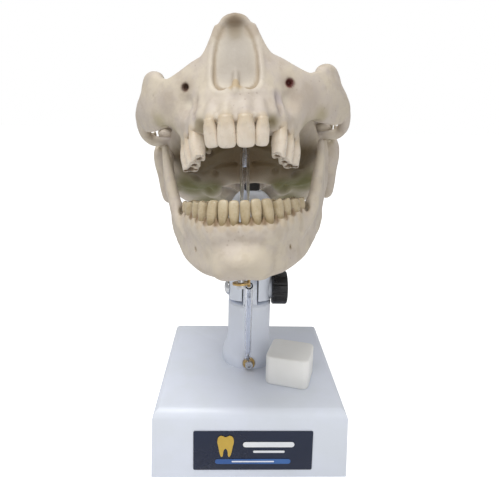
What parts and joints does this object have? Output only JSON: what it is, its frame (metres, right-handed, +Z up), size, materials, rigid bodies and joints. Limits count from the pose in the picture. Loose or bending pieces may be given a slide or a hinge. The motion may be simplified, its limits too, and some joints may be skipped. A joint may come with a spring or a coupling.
{
  "type": "typodont model",
  "caption": "Dental typodont: a cut skull and hinged lower jaw with separate teeth on a tilting clamp stand with a heavy square base and a loose practice block.",
  "frame": {"origin": "centre of the base's underside", "axes": "+X to the viewer's right, +Y to the back, +Z up; the teeth face -Y"},
  "size_m": [0.1377, 0.1701, 0.2808],
  "materials": {
    "white_plastic": "smooth satin moulded plastic",
    "black_plastic": "fine matt moulded plastic",
    "steel": "bright zinc plated steel",
    "aluminium": "satin aluminium",
    "iron": "raw black iron",
    "brass": "dull brass",
    "rubber": "black rubber",
    "label": "printed dark blue film",
    "bone": "cast resin with a bone texture and olive shading in its hollows",
    "tooth": "satin ivory resin, darker at the neck",
    "block_resin": "matt cast resin",
    "clear_tube": "clear silicone"
  },
  "bodies": {
    "stand": {"base_shell": "white_plastic", "base_plate": "black_plastic", "base_plate_screws": "steel", "anti_slip_pads": "rubber", "ballast_plate": "iron", "nameplate": "label", "lower_post": "white_plastic", "post_bolt": "steel", "post_washer": "steel", "foot_screw": "steel", "foot_ring": "steel", "foot_pin": "steel", "chin_tube": "clear_tube"},
    "block": {"practice_block": "block_resin"},
    "neck": {"head_arm": "white_plastic", "hinge_bolt": "steel", "friction_washers": "black_plastic", "neck_stud": "steel", "stud_sleeve": "rubber", "stud_washer": "steel", "wing_nut": "steel"},
    "knob": {"clamp_knob": "black_plastic", "knob_insert": "brass"},
    "skull": {"cranium": "bone", "skull_bridge": "aluminium", "bridge_screws": "steel", "jaw_bushes": "brass", "palate_eye": "steel", "palate_pin": "steel", "mouth_tube": "clear_tube", "upper_right_central_incisor": "tooth", "upper_left_central_incisor": "tooth", "upper_right_lateral_incisor": "tooth", "upper_left_lateral_incisor": "tooth", "upper_right_first_premolar": "tooth", "upper_left_first_premolar": "tooth", "upper_right_second_premolar": "tooth", "upper_left_second_premolar": "tooth", "upper_right_molar": "tooth", "upper_left_molar": "tooth"},
    "jaw": {"mandible": "bone", "jaw_pivot_pins": "steel", "chin_screw": "steel", "chin_ring": "brass", "jaw_eye": "steel", "jaw_tube_pins": "steel", "lower_right_central_incisor": "tooth", "lower_left_central_incisor": "tooth", "lower_right_lateral_incisor": "tooth", "lower_left_lateral_incisor": "tooth", "lower_right_canine": "tooth", "lower_left_canine": "tooth", "lower_right_first_premolar": "tooth", "lower_left_first_premolar": "tooth", "lower_right_second_premolar": "tooth", "lower_left_second_premolar": "tooth", "lower_right_molar": "tooth", "lower_left_molar": "tooth", "lower_back_molars": "tooth"}
  },
  "joints": [
    {"name": "head_tilt", "type": "hinge", "parent": "stand", "child": "neck", "pos_m": [0, 0.006, 0.102], "axis": [1, 0, 0], "range_deg": [-10, 10], "deforming": ["chin_tube"]},
    {"name": "knob_turn", "type": "hinge", "parent": "neck", "child": "knob", "pos_m": [0.02, 0.006, 0.102], "axis": [1, 0, 0], "range_deg": [-180, 180]},
    {"name": "head_swivel", "type": "hinge", "parent": "neck", "child": "skull", "pos_m": [0, 0.006, 0.19], "axis": [0, 0, 1], "range_deg": [-15, 15]},
    {"name": "jaw_hinge", "type": "hinge", "parent": "skull", "child": "jaw", "pos_m": [-0.0065, -0.007, 0.217], "axis": [0.9963, -0.0609, 0.061], "range_deg": [-14, 4.5], "deforming": ["mouth_tube"]},
    {"name": "block_lift", "type": "slide", "parent": "stand", "child": "block", "axis": [0, 0, 1], "range_m": [0, 0.02]}
  ]
}
